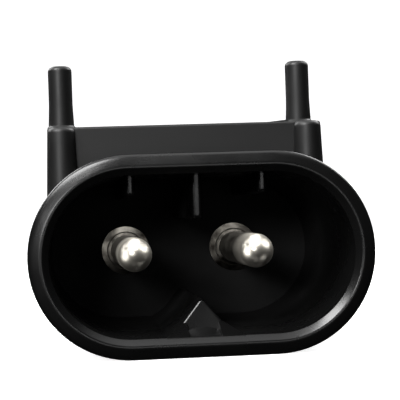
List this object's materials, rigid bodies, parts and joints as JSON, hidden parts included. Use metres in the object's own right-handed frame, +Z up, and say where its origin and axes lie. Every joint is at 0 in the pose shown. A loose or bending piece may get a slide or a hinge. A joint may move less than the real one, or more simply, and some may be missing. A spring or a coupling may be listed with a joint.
{
  "type": "two-pin electrical connector",
  "caption": "Male power connector: obround black shroud with a V key and ribs round turned round contacts, a saddle bracket with upright locating posts and straight rear tails.",
  "frame": {"origin": "centre of the bounding box's bottom, where the shroud's flat lower wall rests", "axes": "+Y from the mouth into the socket and on to the tails, +Z up along the locating posts, +X to the right seen from the mouth"},
  "size_m": [0.0234, 0.026, 0.0211],
  "materials": {
    "black_nylon": "injection moulded, satin to semi-gloss",
    "plated_brass": "turned and nickel plated, bright"
  },
  "bodies": {
    "root": {"housing": "black_nylon", "left_contact": "plated_brass", "right_contact": "plated_brass"}
  },
  "joints": []
}
